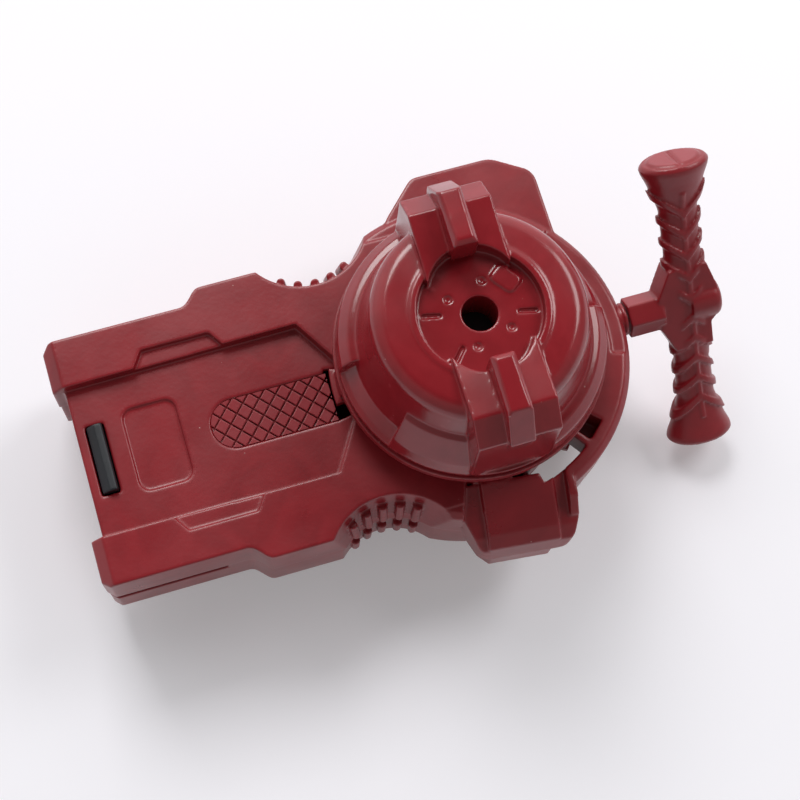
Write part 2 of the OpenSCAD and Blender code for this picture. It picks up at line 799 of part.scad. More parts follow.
// Cord spool: spring barrel below, cord groove, and the ring gear on top
module cord_spool() {
    color(cream) difference() {
        rotate_extrude() polygon([
            [axle_r + run_fit, hub_lo], [hub_r, hub_lo], [hub_r, web_lo], [barrel_in, web_lo],
            [barrel_in, spring_lo - 0.6], [barrel_out, spring_lo - 0.6], [barrel_out, groove_lo],
            [core_r, groove_lo], [core_r, groove_hi], [barrel_out, groove_hi], [ring_out, groove_hi + 0.5],
            [ring_out, gear_hi + 0.1], [axle_r + run_fit, gear_hi + 0.1]]);
        translate([0, 0, ring_lo]) linear_extrude(10) rotate(180 / ring_teeth)
            polygon(gear_outline(ring_teeth, ring_r, ring_r - ring_add, ring_r + tooth_ded,
                PI * gear_m / 2 + backlash));
    }
}

// The wound cord as one ring
module cord_winding() {
    color(cream) translate([0, 0, groove_lo + seat_gap]) difference() {
        cylinder(h = groove_w - 2 * seat_gap, r = winding_r);
        translate([0, 0, -1]) cylinder(h = groove_w + 2, r = core_r + seat_gap);
    }
}

module pinion_plan() {
    polygon(gear_outline(pinion_teeth, pinion_r, pinion_r - tooth_ded, pinion_r + tooth_add,
        PI * gear_m / 2 - backlash));
}

module idler(x) {
    translate([x, 0, gear_lo]) difference() {
        linear_extrude(gear_h) rotate(180 / pinion_teeth) pinion_plan();
        translate([0, 0, -1]) cylinder(h = gear_h + 2, r = post_r + run_fit, $fn = 32);
    }
}

module idler_gear_a() {
    color(cream) idler(idler_x);
}

module idler_gear_b() {
    color(cream) idler(-idler_x);
}

// Sun pinion and the head's shaft in one piece
module sun_pinion() {
    color(ink) difference() {
        union() {
            translate([0, 0, gear_lo]) linear_extrude(gear_h) pinion_plan();
            translate([0, 0, gear_hi - 1]) cylinder(h = shaft_hi - gear_hi + 1, r = shaft_r);
        }
        translate([0, 0, gear_lo - 1]) cylinder(h = axle_hi - gear_lo + 1.4, r = axle_r + run_fit);
    }
}

// Side view of one prong: floor, panel, sloped top and outer face
module prong_side() {
    polygon([[prong_start, floor_z - 2], [prong_start, dome_hi + 0.4], [dome_top_r + 0.5, panel_z],
        [prong_reach - 0.5, dome_hi - 2], [prong_reach, dome_lo + 1.4], [prong_in + 1, dome_lo + 1.4],
        [prong_in, floor_z - 3.6], [prong_in - 1.4, floor_z - 2]]);
}

// Side view of the rib: an upright inner end, a level top and a long slope to the outer face
module prong_rib_side() {
    foot = dome_hi - 8;
    polygon([[rib_start, dome_hi - 1], [rib_start, rib_z - 0.4], [rib_start + 1, rib_z + 0.4],
        [dome_top_r + 1.9, rib_z], [prong_reach + 0.7, dome_hi - 1], [prong_reach - 0.2, foot],
        [prong_reach - 3, foot]]);
}

// End view of the rib, with slopes along its two long edges
module prong_rib_end() {
    half = rib_w / 2;
    polygon([[-half, 0], [half, 0], [half, rib_z - 0.9], [half - rib_edge, rib_z + 0.5],
        [rib_edge - half, rib_z + 0.5], [-half, rib_z - 0.9]]);
}

// One prong towards +Y, with a hollowed inner end between two points, and a raised middle rib
module prong() {
    difference() {
        rotate([90, 0, 90]) translate([0, 0, -prong_w / 2]) linear_extrude(prong_w) prong_side();
        translate([0, prong_hollow_y, floor_z]) cylinder(h = 20, r = prong_hollow_r);
    }
    intersection() {
        rotate([90, 0, 90]) translate([0, 0, -rib_w]) linear_extrude(2 * rib_w) prong_rib_side();
        rotate([90, 0, 180]) linear_extrude(2 * prong_reach) prong_rib_end();
    }
}

// Spinning hub: the recessed floor with its hole, and the two prongs
module prong_hub() {
    boss_lo = bush_hi + 0.5;
    ear_lo = floor_z - 4.8;
    color(red) difference() {
        union() {
            translate([0, 0, floor_z - 2]) cylinder(h = 2, r = recess_r - 0.1);
            translate([0, 0, boss_lo]) cylinder(h = floor_z - boss_lo, r = shaft_r + 2.4);
            translate([-dome_screw_x - 2.6, -4, ear_lo]) cube([2 * dome_screw_x + 5.2, 8, 2]);
            prong();
            rotate([0, 0, 180]) prong();
            // Raised mark on the floor
            rotate([0, 0, 38]) translate([8.6, 0, floor_z - eps])
                linear_extrude(0.5) pocket_plan(4, 5.4, 1.2);
        }
        translate([0, 0, shaft_hi]) cylinder(h = 40, r = hole_r);
        translate([0, 0, boss_lo - 1]) cylinder(h = shaft_hi - boss_lo + 1, r = shaft_r + seat_gap);
        for (x = [-1, 1])
            translate([x * dome_screw_x, 0, ear_lo - 1]) cylinder(h = 4, r = small_screw_r + 0.1, $fn = 24);
        // Small pits and grooves on the floor
        for (a = [70, 140, 250, 320])
            rotate([0, 0, a]) translate([6.6, 0, floor_z - 0.4]) cylinder(h = 1, r = 0.8, $fn = 24);
        for (a = [-12, 168, 228])
            rotate([0, 0, a]) translate([7.3, -0.45, floor_z - 0.6]) cube([4, 0.9, 1]);
    }
}

// Dome around the hub, open at the two prongs
module dome_side() {
    foot = dome_lo + 2.2;
    in_lo = floor_z - 2;
    polygon(concat(
        [[flange_r - 0.5, dome_lo], [flange_r - 0.5, dome_lo + 1.5], [dome_foot_r, foot],
         [dome_neck_r + 1.6, foot + 3], [dome_neck_r, dome_neck_z],
         [dome_top_r + 0.9, dome_hi - dome_round - 0.6]],
        arc([dome_top_r + 0.9 - dome_round, dome_hi - 0.5 - dome_round], dome_round, 0, 78, 8),
        [[recess_r + 1.6, dome_hi - 0.3], [recess_r + 1.2, dome_hi], [recess_r, dome_hi], [recess_r, in_lo],
         [recess_r + dome_wall, in_lo], [recess_r + dome_wall, dome_hi - dome_wall - 0.5],
         [dome_top_r - 1.6, dome_hi - dome_wall - 0.8], [dome_neck_r - dome_wall, dome_neck_z],
         [dome_neck_r - dome_wall + 1.2, foot + 2.6], [dome_foot_r - dome_wall, foot - 0.6],
         [dome_foot_r - dome_wall, dome_lo]]));
}

// Raised bands round the foot of the dome, two of each
module dome_bands() {
    foot = dome_lo + 1.4;
    for (half = [0, 180]) {
        rotate([0, 0, half + 98]) rotate_extrude(angle = 80)
            polygon([[dome_foot_r - 1.4, foot], [dome_foot_r + 1, foot], [dome_foot_r + 0.5, foot + 3.8],
                [dome_neck_r + 2.6, foot + 6], [dome_neck_r - 0.4, foot + 6.6],
                [dome_neck_r - 0.4, foot + 4]]);
        rotate([0, 0, half + 216]) rotate_extrude(angle = 40)
            polygon([[dome_foot_r - 1.4, foot], [dome_foot_r + 0.8, foot], [dome_foot_r + 0.2, foot + 3.4],
                [dome_neck_r + 1, dome_neck_z - 0.4], [dome_neck_r - 0.2, dome_neck_z + 0.4],
                [dome_neck_r - 0.8, dome_neck_z - 1]]);
    }
}

module dome_cap() {
    slot_w = prong_w + 2 * seat_gap;
    ear_hi = floor_z - 2.8 + seat_gap;
    color(red) difference() {
        union() {
            rotate_extrude() dome_side();
            dome_bands();
            for (x = [-1, 1])
                translate([x * dome_screw_x, 0, ear_hi])
                    cylinder(h = dome_hi - dome_wall - ear_hi + eps, r = 2.3, $fn = 32);
        }
        // Gaps for the prongs
        for (side = [0, 180])
            rotate([0, 0, side]) translate([-slot_w / 2, recess_r - 4, dome_lo + 1.4 - seat_gap])
                cube([slot_w, 40, 60]);
        for (x = [-1, 1])
            translate([x * dome_screw_x, 0, ear_hi - 1])
                cylinder(h = 3.6, r = small_screw_r + seat_gap, $fn = 24);
    }
}

module dome_screws() {
    color(steel) for (x = [-1, 1])
        translate([x * dome_screw_x, 0, floor_z - 4.8 - 1])
            screw(small_screw_r, 1.6, 1, 5.2);
}

// Selector ring under the dome, with the tab that reaches into the plate
module selector_ring() {
    color(red) {
        translate([0, 0, selector_lo]) difference() {
            cylinder(h = selector_t, r = flange_r);
            translate([0, 0, -1]) cylinder(h = selector_t + 2, r = collar_out + move_gap);
        }
        ring_sector(tab_in, web_out, tab_from + 2, tab_to - 2, tab_lo + 0.4, selector_lo + 1);
        ring_sector(tab_in, tab_out, tab_from, tab_to, tab_lo, tab_hi);
    }
}

// Sprung latch bar with a ramp towards the tail
module grip_latch() {
    top = plate_z + latch_rise;
    color(ink) translate([latch_x, 0, 0]) {
        rotate([90, 0, 0]) translate([0, 0, -latch_w / 2]) linear_extrude(latch_w)
            polygon([[-latch_t / 2, latch_foot_lo], [latch_t / 2, latch_foot_lo], [latch_t / 2, top - 0.3],
                [latch_t / 2 - 0.4, top], [0, top], [-latch_t / 2, plate_z + 0.3]]);
        translate([-latch_t / 2, -latch_w / 2 - 1.5, latch_foot_lo])
            cube([latch_t / 2 + latch_spring_x - latch_x + latch_spring_r + 0.6, latch_w + 3, latch_foot_t]);
    }
}

// The stretch of cord from the spool to the handle
module cord_lead() {
    path = concat([for (p = cord_route) [p[0], p[1], cord_z]], [[stopper_x, 0, cord_z]]);
    color(cream) tube(path, cord_d / 2, 8);
}

// Bead on the cord's end, free to turn inside the handle
module cord_stopper() {
    color(steel) translate([stopper_x, 0, cord_z]) rotate([0, 90, 0]) {
        cylinder(h = 0.8, r1 = stopper_r - 0.6, r2 = stopper_r, $fn = 32);
        translate([0, 0, 0.8]) cylinder(h = stopper_l - 0.8, r = stopper_r, $fn = 32);
    }
}

// Half outline of the handle from its middle to an end cap, as width over length
function arm_outline(grow) = let (end = handle_len / 2) [
    [0, 0], [arm_r + 0.5 + grow, 0], [arm_r + grow, end - 20], [arm_r + 0.2 + grow, end - 11],
    [arm_r + 1 + grow, end - 8], [flare_r - 1.2 + grow, end - 4.6], [flare_r - 0.2, end - 2.2],
    [flare_r, end - 1.2], [flare_r - 0.7, end - 0.4], [flare_r - 1.6, end - 0.4],
    [flare_r - 2, end], [0, end]];

// One flattened arm along +Y
module arm(grow = 0) {
    scale([1, 1, arm_flat]) rotate([-90, 0, 0]) rotate_extrude($fn = 40) polygon(arm_outline(grow));
}

// Raised chevrons that point to the middle of the handle, and the spine that joins them
module chevron_row() {
    intersection() {
        arm(chevron_rise);
        for (i = [0:chevrons - 1], side = [-1, 1])
            translate([0, chevron_from + i * chevron_pitch, 0])
                rotate([0, 0, side * chevron_turn])
                    translate([side > 0 ? -0.2 : -11.8, 0, -8]) cube([12, chevron_t, 16]);
    }
    intersection() {
        arm(chevron_rise * 0.6);
        translate([-spine_w / 2, chevron_from, -8])
            cube([spine_w, chevrons * chevron_pitch + 1, 16]);
    }
}

// The whole handle in its own frame: arms along Y, nose towards -X
module handle_solid() {
    for (side = [0, 180])
        rotate([side, 0, 0]) {
            arm();
            chevron_row();
        }
    translate([0, 0, -hub_t / 2]) linear_extrude(hub_t)
        polygon([[-hub_half, -hub_w / 2], [-hub_half, hub_w / 2], [-arm_r - 0.2, hub_l],
            [arm_r + 0.2, hub_l],
            [bump_l - 0.7, hub_w / 2], [bump_l - 0.7, -hub_w / 3], [arm_r + 0.2, -hub_w / 2 - 1],
            [arm_r + 0.2, -hub_l], [-arm_r - 0.2, -hub_l]]);
    // Round boss behind the hub
    rotate([0, 90, 0]) rotate_extrude()
        polygon(concat([[0, 0], [bump_r, 0]], arc([bump_r - 1.6, bump_l - 1.6], 1.6, 0, 90, 5),
            [[0, bump_l]]));
    translate([nose_start - handle_x, 0, 0]) rotate([0, 90, 0])
        cylinder(h = handle_x - nose_start - hub_half + 1, d = nose_w, $fn = 6);
}

module handle_half(front) {
    difference() {
        translate([handle_x, 0, cord_z]) rotate([handle_tilt, 0, 0]) difference() {
            handle_solid();
            translate([front ? 0 : -60, -60, -60]) cube([60, 120, 120]);
        }
        cord_bore(nose_start - 1, handle_x, cord_d / 2 + 0.7, 32);
        cord_bore(stopper_x - move_gap, stopper_x + stopper_l + move_gap, stopper_r + move_gap, 32);
        translate([handle_x, 0, cord_z]) rotate([handle_tilt, 0, 0])
            for (side = [-1, 1])
                translate([0, side * handle_len / 2, 0])
                    cube([cap_line_w, 2 * cap_line_d, 3 * flare_r], center = true);
        translate([handle_x, 0, cord_z]) rotate([handle_tilt, 0, 0])
            for (side = [-1, 1])
                translate([0, side * handle_screw_y, 0]) rotate([0, 90, 0]) {
                    translate([0, 0, -2]) cylinder(h = 12, r = small_screw_r + seat_gap, $fn = 24);
                    translate([0, 0, 2]) cylinder(h = 8, r = 1.6, $fn = 24);
                }
    }
}

module handle_front() {
    color(red) handle_half(true);
}

module handle_back() {
    color(red) handle_half(false);
}

module handle_screws() {
    color(steel) translate([handle_x, 0, cord_z]) rotate([handle_tilt, 0, 0])
        for (side = [-1, 1])
            translate([handle_screw_x, side * handle_screw_y, 0]) rotate([0, -90, 0])
                screw(small_screw_r, 1.5, 1, 5);
}

front_shell();
back_shell();
back_cover();
casing_screws();
cover_screws();
spool_axle();
axle_washer();
rewind_spring();
cord_eyelet();
gear_carrier();
carrier_screws();
head_bush();
latch_spring();
cord_spool();
cord_winding();
idler_gear_a();
idler_gear_b();
sun_pinion();
prong_hub();
dome_cap();
dome_screws();
selector_ring();
grip_latch();
cord_lead();
cord_stopper();
handle_front();
handle_back();
handle_screws();
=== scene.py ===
# %% [markdown]
# # A pull-cord launcher for spinning tops
# The launcher is a hand toy of moulded red ABS: a flat body with two rails, a domed head that spins, and
# a ribbed handle on a cord. Its solids come from the CAD frame at their real size, so this lesson only
# gives each moulding its soft edges, its small relief and its finish, and then lights it like a product.

# %% Load the frame
import json
import math

import bpy
from mathutils import Matrix, Vector


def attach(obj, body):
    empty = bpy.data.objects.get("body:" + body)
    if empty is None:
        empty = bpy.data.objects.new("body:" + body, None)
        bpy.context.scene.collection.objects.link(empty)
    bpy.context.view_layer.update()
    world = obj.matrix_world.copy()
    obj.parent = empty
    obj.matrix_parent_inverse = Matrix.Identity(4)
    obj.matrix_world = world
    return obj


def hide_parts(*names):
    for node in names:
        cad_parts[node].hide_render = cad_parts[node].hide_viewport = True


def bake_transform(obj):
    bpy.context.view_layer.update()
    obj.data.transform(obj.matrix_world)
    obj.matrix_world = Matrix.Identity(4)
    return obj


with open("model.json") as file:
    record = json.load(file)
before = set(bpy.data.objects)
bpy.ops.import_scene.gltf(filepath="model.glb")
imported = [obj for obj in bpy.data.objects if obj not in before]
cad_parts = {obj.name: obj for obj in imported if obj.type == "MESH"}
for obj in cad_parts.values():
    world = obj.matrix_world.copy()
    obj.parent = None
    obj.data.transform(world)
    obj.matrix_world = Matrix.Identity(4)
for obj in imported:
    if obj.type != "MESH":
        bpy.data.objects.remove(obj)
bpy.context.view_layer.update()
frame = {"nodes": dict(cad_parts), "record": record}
MM = 0.001
BODY_OF = {n: b for b, names in frame["record"]["behaviour"]["bodies"].items() for n in names}
SLOT_OF = {s["node"]: s["material_slot"] for s in frame["record"]["subparts"]}
print("frame loaded:", len(frame["nodes"]), "nodes")

# %% [markdown]
# ## The camera
# The picture was taken from above, a little towards the near side, with the camera turned in the hand.
# The angles come from matching the straight rails and the round rim, so they are kept as three turns
# and a distance. A camera's own axes are right, up and back, and they are the columns of its matrix.

# %% Place the camera
VIEW_AZIMUTH = math.radians(-27.2)
VIEW_ELEVATION = math.radians(74.0)
VIEW_ROLL = math.radians(10.88)
VIEW_DISTANCE = 360.0 * MM
VIEW_SIDE = 13.7 * MM
VIEW_RISE = 8.98 * MM
AIM_HEIGHT = 33.0 * MM
SENSOR_MM = 36.0
LENS_MM = 79.24
CLIP_START = 10 * MM

view_back = Vector((
    math.cos(VIEW_ELEVATION) * math.sin(VIEW_AZIMUTH),
    -math.cos(VIEW_ELEVATION) * math.cos(VIEW_AZIMUTH),
    math.sin(VIEW_ELEVATION),
))
level_right = Vector((math.cos(VIEW_AZIMUTH), math.sin(VIEW_AZIMUTH), 0))
level_up = view_back.cross(level_right)
view_right = level_right * math.cos(VIEW_ROLL) + level_up * math.sin(VIEW_ROLL)
view_up = level_up * math.cos(VIEW_ROLL) - level_right * math.sin(VIEW_ROLL)
view_place = view_back * VIEW_DISTANCE - view_right * VIEW_SIDE - view_up * VIEW_RISE
view_place += Vector((0, 0, AIM_HEIGHT))

bpy.ops.object.camera_add()
camera = bpy.context.object
camera.name = "product_camera"
camera.data.sensor_width = SENSOR_MM
camera.data.lens = LENS_MM
camera.data.clip_start = CLIP_START
camera.matrix_world = Matrix((
    (view_right.x, view_up.x, view_back.x, view_place.x),
    (view_right.y, view_up.y, view_back.y, view_place.y),
    (view_right.z, view_up.z, view_back.z, view_place.z),
    (0, 0, 0, 1),
))
bpy.context.scene.camera = camera
bpy.context.scene.view_settings.view_transform = "Standard"
print("camera at", [round(v / MM) for v in view_place], "mm")

# %% [markdown]
# ## Finishes
# A material is a small tree of nodes. One function turns a hex colour into the linear light that Blender
# mixes, and one adds a node, sets its sockets and links what feeds it. It takes a socket by its name, with
# an underscore for each space, or by the letter i and its number where several sockets share a name.

# %% Colour and node helpers
def linear(hex_colour):
    """Turn an sRGB hex colour into linear RGBA."""
    parts = [int(hex_colour[i:i + 2], 16) / 255 for i in (1, 3, 5)]
    return (*[c / 12.92 if c <= 0.04045 else ((c + 0.055) / 1.055) ** 2.4 for c in parts], 1.0)


def add(tree, kind, settings=None, **sockets):
    """Add a node with its settings, its socket values and the links that feed it."""
    node = tree.nodes.new(kind)
    for name, value in (settings or {}).items():
        setattr(node, name, value)
    for name, value in sockets.items():
        socket = node.inputs[int(name[1:]) if name[1:].isdigit() else name.replace("_", " ")]
        if isinstance(value, bpy.types.NodeSocket):
            tree.links.new(value, socket)
        else:
            socket.default_value = value
    return node


def per_metre(size_mm):
    """Give the texture scale at which one feature is size_mm wide."""
    return 1.0 / (size_mm * MM)


def new_material(name):
    """Start a material with an empty node tree."""
    material = bpy.data.materials.new(name)
    material.use_nodes = True
    material.node_tree.nodes.clear()
    return material, material.node_tree


def paint(piece, finish):
    """Give a piece one material all over."""
    piece.data.materials.clear()
    piece.data.materials.append(finish)


print("helpers ready")

# %% [markdown]
# Moulded ABS is a dyed plastic: the colour goes all the way through, with faint swirls where the melt
# flowed. The mould gives it a skin between satin and gloss, with a fine orange peel that softens
# reflections. Two grades are needed: the polished head, and the satin body that hands have rubbed. Edges
# are painted a little paler: partly the wear where fingers and pockets rub, partly a painted highlight. A
# few specks of dust lie on the skin. A Voronoi texture scatters the specks: a point of it shows only where it
# happens to lie close to the surface.
# Acetal, for the latch and the gears, is moulded the same way and is duller, so it shares the function.

# %% Plastics
FLOW_MM = 16.0
PEEL_MM = 0.9
PEEL_STRENGTH = 0.6
HANDLING_MM = 14.0
RUBBED_AND_HIGHLIGHT_SHARE = 0.5
DUST_MM = 5.0
DUST_SHARE = 0.03
DUST_COVER = 0.7
DUST_HEX = "#cdb4ae"
PLASTIC_IOR = 1.53


def moulded_plastic(name, base_hex, flow_hex, rubbed_and_highlight_hex, smooth, rough, peel_depth_mm):
    """Make a dyed plastic whose roughness wanders between smooth and rough."""
    material, tree = new_material(name)
    place = add(tree, "ShaderNodeTexCoord").outputs["Object"]
    flow = add(tree, "ShaderNodeTexNoise", Vector=place, Scale=per_metre(FLOW_MM), Detail=3.0, Distortion=2.2)
    swirl = add(tree, "ShaderNodeMapRange", Value=flow.outputs["Fac"], From_Min=0.35, From_Max=0.65)
    dyed = add(tree, "ShaderNodeMix", {"data_type": "RGBA"}, i0=swirl.outputs["Result"],
               i6=linear(base_hex), i7=linear(flow_hex))
    # Convex edges are painted paler: partly rubbed wear, partly a painted highlight along them.
    bend = add(tree, "ShaderNodeNewGeometry").outputs["Pointiness"]
    edges = add(tree, "ShaderNodeMapRange", Value=bend, From_Min=0.52, From_Max=0.62, To_Max=RUBBED_AND_HIGHLIGHT_SHARE)
    worn_and_highlit = add(tree, "ShaderNodeMix", {"data_type": "RGBA"}, i0=edges.outputs["Result"],
               i6=dyed.outputs["Result"], i7=linear(rubbed_and_highlight_hex))
    specks = add(tree, "ShaderNodeTexVoronoi", Vector=place, Scale=per_metre(DUST_MM))
    dust = add(tree, "ShaderNodeMapRange", Value=specks.outputs["Distance"], From_Min=DUST_SHARE / 2,
               From_Max=DUST_SHARE, To_Min=DUST_COVER, To_Max=0.0)
    colour = add(tree, "ShaderNodeMix", {"data_type": "RGBA"}, i0=dust.outputs["Result"],
                 i6=worn_and_highlit.outputs["Result"], i7=linear(DUST_HEX))
    hands = add(tree, "ShaderNodeTexNoise", Vector=place, Scale=per_metre(HANDLING_MM), Detail=5.0)
    gloss = add(tree, "ShaderNodeMapRange", Value=hands.outputs["Fac"], From_Min=0.3, From_Max=0.7,
                To_Min=smooth, To_Max=rough)
    peel = add(tree, "ShaderNodeTexNoise", Vector=place, Scale=per_metre(PEEL_MM), Detail=2.0)
    bump = add(tree, "ShaderNodeBump", Height=peel.outputs["Fac"], Distance=peel_depth_mm * MM,
               Strength=PEEL_STRENGTH)
    shader = add(tree, "ShaderNodeBsdfPrincipled", Base_Color=colour.outputs["Result"], IOR=PLASTIC_IOR,
                 Roughness=gloss.outputs["Result"], Normal=bump.outputs["Normal"])
    add(tree, "ShaderNodeOutputMaterial", Surface=shader.outputs["BSDF"])
    return material


red_polished = moulded_plastic("red_abs_polished", "#80161e", "#8a1c24", "#9a343b", 0.15, 0.24, 0.015)
red_satin = moulded_plastic("red_abs_satin", "#7f161e", "#8a1b23", "#98343b", 0.27, 0.37, 0.03)
acetal_ink = moulded_plastic("blue_black_acetal", "#0e1116", "#13171e", "#20252e", 0.42, 0.54, 0.03)
acetal_pale = moulded_plastic("natural_acetal", "#d8d5cb", "#cfcbc0", "#e2dfd6", 0.36, 0.46, 0.03)
print("plastics made")

# %% [markdown]
# The screws and the axle are zinc-plated steel, and the bush is sintered bronze. Both are metals, so their
# colour is the colour of the reflection, and cloudy marks from the lathe and the plating break it up. Real
# marks are a few hundredths of a millimetre wide, too fine to show, so they are drawn much coarser.

# %% Metals
MARKS_MM = 1.4


def turned_metal(name, base_hex, dull_hex, smooth, rough):
    """Make a metal whose marks change both its colour and its roughness."""
    material, tree = new_material(name)
    place = add(tree, "ShaderNodeTexCoord").outputs["Object"]
    marks = add(tree, "ShaderNodeTexNoise", Vector=place, Scale=per_metre(MARKS_MM), Detail=4.0)
    colour = add(tree, "ShaderNodeMix", {"data_type": "RGBA"}, i0=marks.outputs["Fac"],
                 i6=linear(base_hex), i7=linear(dull_hex))
    gloss = add(tree, "ShaderNodeMapRange", Value=marks.outputs["Fac"], To_Min=smooth, To_Max=rough)
    shader = add(tree, "ShaderNodeBsdfPrincipled", Base_Color=colour.outputs["Result"], Metallic=1.0,
                 Roughness=gloss.outputs["Result"])
    add(tree, "ShaderNodeOutputMaterial", Surface=shader.outputs["BSDF"])
    return material


zinc_steel = turned_metal("zinc_plated_steel", "#b9bdc2", "#9a9ea4", 0.28, 0.4)
bronze = turned_metal("sintered_bronze", "#b89a5e", "#97804c", 0.35, 0.5)
print("metals made")

# %% [markdown]
# The cord is braided polyester. Its plies cross it slantwise, so a slanted wave gives the bump, and the same
# wave paints the colour: a painted highlight on the backs of the plies and painted shade between them. A
# wave texture is about twenty times finer than its scale says, which is why the scale is divided.

# %% Cord
CORD_PLY_MM = 0.7
PLY_DEPTH_MM = 0.1
WAVE_FINENESS = 20


def braided_cord():
    """Make the cord's material."""
    material, tree = new_material("braided_polyester")
    place = add(tree, "ShaderNodeTexCoord").outputs["Object"]
    braid_and_painted_shade = add(tree, "ShaderNodeTexWave", {"wave_type": "BANDS", "bands_direction": "DIAGONAL"},
                Vector=place, Scale=per_metre(CORD_PLY_MM) / WAVE_FINENESS, Distortion=1.0)
    # Painted light and shade: pale on the backs of the plies, dark in the grooves between them.
    colour = add(tree, "ShaderNodeMix", {"data_type": "RGBA"}, i0=braid_and_painted_shade.outputs["Fac"],
                 i6=linear("#8f8b82"), i7=linear("#cfcabd"))
    bump = add(tree, "ShaderNodeBump", Height=braid_and_painted_shade.outputs["Fac"], Distance=PLY_DEPTH_MM * MM)
    shader = add(tree, "ShaderNodeBsdfPrincipled", Base_Color=colour.outputs["Result"], Roughness=0.8,
                 Normal=bump.outputs["Normal"])
    add(tree, "ShaderNodeOutputMaterial", Surface=shader.outputs["BSDF"])
    return material


cord_braid = braided_cord()
print("cord made")

# %% [markdown]
# Every CAD node gets the finish of its material slot. The small inner pieces need no more than that.

# %% Finish the CAD nodes
FINISH = {"red_abs": red_satin, "black_acetal": acetal_ink, "pale_acetal": acetal_pale, "steel": zinc_steel,
          "brass": bronze, "cord": cord_braid}

for name, shape in frame["nodes"].items():
    paint(shape, FINISH[SLOT_OF[name]])
print(len(frame["nodes"]), "nodes painted")

# %% [markdown]
# ## Moulded edges
# No moulding has a knife edge: the tool's corners are rounded, and the plastic shrinks a little as it cools.
# A bevel needs clean faces, and a solid that was cut many times has long ragged ones. A voxel remesh gives an
# even skin of small squares instead. Smoothing that skin a few times wears every edge round by a fraction of
# a millimetre, and the decimate modifier then drops the squares that the flat walls don't need.
# The rounded copy stands for the CAD node, which stays where it is for the motion. The dome and the prongs,
# and the two halves of the handle, fit so tightly that the eye sees one moulding, so they share a skin.

# %% Helpers for pieces
VOXEL_MM = 0.3
WELD_MM = 0.002
SMOOTH_FACTOR = 0.5


def only(piece):
    """Select one piece and make it active."""
    bpy.ops.object.select_all(action="DESELECT")
    piece.select_set(True)
    bpy.context.view_layer.objects.active = piece


def apply_modifier(piece, kind, **settings):
    """Put a modifier on a piece and apply it."""
    modifier = piece.modifiers.new(kind.lower(), kind)
    for name, value in settings.items():
        setattr(modifier, name, value)
    only(piece)
    bpy.ops.object.modifier_apply(modifier=modifier.name)


def copy_of(node, name):
    """Add a piece whose mesh starts as a copy of a CAD node's."""
    piece = bpy.data.objects.new(name, frame["nodes"][node].data.copy())
    bpy.context.scene.collection.objects.link(piece)
    return piece


def stand_for(piece, nodes, finish):
    """Let a piece replace CAD nodes, on their body, painted with the given finish."""
    paint(piece, finish)
    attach(piece, BODY_OF[nodes[0]])
    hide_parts(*nodes)


def moulded(name, nodes, finish, passes, triangles):
    """Round the edges of a copy of some CAD nodes, and keep it to a number of triangles."""
    bpy.ops.object.select_all(action="DESELECT")
    for node in nodes:
        piece = copy_of(node, name)
        piece.select_set(True)
        bpy.context.view_layer.objects.active = piece
    if len(nodes) > 1:
        bpy.ops.object.join()
    piece = bpy.context.object
    piece.name = name
    bpy.ops.object.mode_set(mode="EDIT")
    bpy.ops.mesh.customdata_custom_splitnormals_clear()
    bpy.ops.mesh.select_all(action="SELECT")
    bpy.ops.mesh.remove_doubles(threshold=WELD_MM * MM)
    bpy.ops.object.mode_set(mode="OBJECT")
    piece.data.remesh_voxel_size = VOXEL_MM * MM
    piece.data.remesh_voxel_adaptivity = 0
    bpy.ops.object.voxel_remesh()
    apply_modifier(piece, "SMOOTH", factor=SMOOTH_FACTOR, iterations=passes)
    apply_modifier(piece, "DECIMATE", ratio=min(1.0, triangles / (2 * len(piece.data.polygons))))
    bpy.ops.object.shade_smooth()
    stand_for(piece, nodes, finish)
    print(name, "rounded,", len(piece.data.polygons), "triangles")


print("voxels of", VOXEL_MM, "mm")

# %% [markdown]
# Each row below is a skin: its name, the nodes that it stands for, its finish, how many times it is smoothed
# and the most triangles that it keeps. Small pieces are smoothed less, so that they keep their form.

# %% Round the edges of the visible mouldings
for name, nodes, finish, passes, triangles in (
    ("front_shell_skin", ["front_shell"], red_satin, 8, 195000),
    ("back_shell_skin", ["back_shell"], red_satin, 6, 120000),
    ("back_cover_skin", ["back_cover"], red_satin, 4, 40000),
    ("selector_skin", ["selector_ring"], red_satin, 4, 60000),
    ("head_skin", ["prong_hub", "dome_cap"], red_polished, 7, 195000),
    ("latch_skin", ["grip_latch"], acetal_ink, 3, 12000),
    ("eyelet_skin", ["cord_eyelet"], red_satin, 3, 12000),
    ("handle_skin", ["handle_front", "handle_back"], red_satin, 6, 120000),
):
    moulded(name, nodes, finish, passes, triangles)

# %% [markdown]
# ## The thumb pad
# The sunk pad on the plate is tread with small lozenges, so that a thumb doesn't slip. Each one is a square
# peg whose top face is drawn in and raised a little, which slopes its upper edge.

# %% One lozenge
PAD_FLOOR = 29.8 * MM
PAD_HEAD_X = -28.6 * MM
PAD_LENGTH = 25.4 * MM
PAD_MID_X = PAD_HEAD_X - PAD_LENGTH / 2
PAD_WIDTH = 10.4 * MM
PAD_EDGE = 0.12 * MM
LOZENGE_X = 3.45 * MM
LOZENGE_Y = 3.65 * MM
LOZENGE_GAP = 0.5 * MM
LOZENGE_HIGH = 0.5 * MM
LOZENGE_TOP = 0.86
LOZENGE_CROWN = 0.06 * MM
FACES_UP = 0.9

